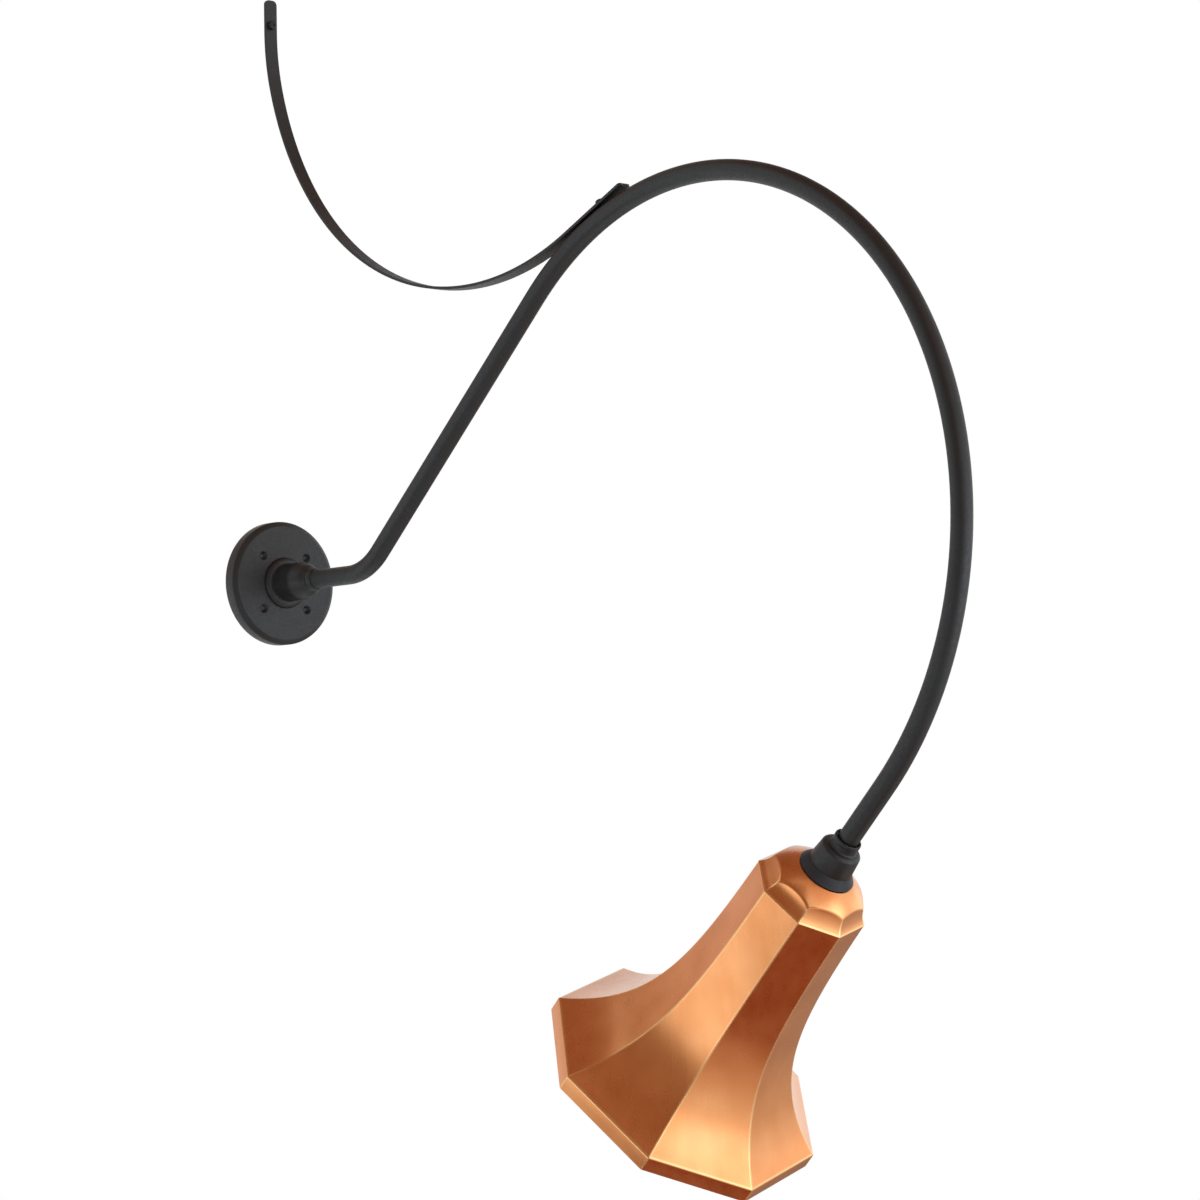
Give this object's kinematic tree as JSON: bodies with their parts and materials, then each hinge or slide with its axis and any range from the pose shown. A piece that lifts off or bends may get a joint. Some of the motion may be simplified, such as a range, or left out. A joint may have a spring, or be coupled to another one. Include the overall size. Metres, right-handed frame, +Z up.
{
  "type": "barn light",
  "caption": "Gooseneck wall light: round wall plate, bent tube arm, curved flat strap and a flared octagonal copper bell shade.",
  "frame": {"origin": "centre of the wall plate on the wall's face", "axes": "+Z up, +Y into the wall, the light stands out towards -Y, the arm's line lies in the plane x = 0"},
  "size_m": [0.266, 0.9768, 1.2012],
  "materials": {
    "black_powder_coat": "satin powder coat with a fine grain",
    "black_screw": "satin black",
    "black_gasket": "matt",
    "brushed_copper": "satin brushed copper under clear lacquer",
    "plated_steel": "zinc plated",
    "white_ceramic": "glazed ceramic, opaque",
    "brass": "bare"
  },
  "bodies": {
    "bracket": {"wall_plate": "black_powder_coat", "hub_set_screw": "black_screw", "gooseneck_arm": "black_powder_coat", "support_strap": "black_powder_coat", "strap_arm_screw": "black_screw", "strap_wall_screw": "black_screw"},
    "shade_head": {"fitter_cap": "black_powder_coat", "fitter_set_screw": "black_screw", "shade_gasket": "black_gasket", "shade_crown": "brushed_copper", "shade_panel_1": "brushed_copper", "shade_panel_2": "brushed_copper", "shade_panel_3": "brushed_copper", "shade_panel_4": "brushed_copper", "shade_panel_5": "brushed_copper", "shade_panel_6": "brushed_copper", "shade_panel_7": "brushed_copper", "shade_panel_8": "brushed_copper", "threaded_nipple": "plated_steel", "clamp_washer": "plated_steel", "lock_nut": "plated_steel", "lampholder_cap": "plated_steel", "lampholder_body": "white_ceramic", "terminal_screws": "plated_steel", "screw_shell": "brass", "centre_contact": "brass"}
  },
  "joints": [
    {"name": "shade_turn", "type": "hinge", "parent": "bracket", "child": "shade_head", "pos_m": [0, -0.82657, -0.27675], "axis": [0, 0.7145, -0.6997], "range_deg": [-170, 170]}
  ]
}
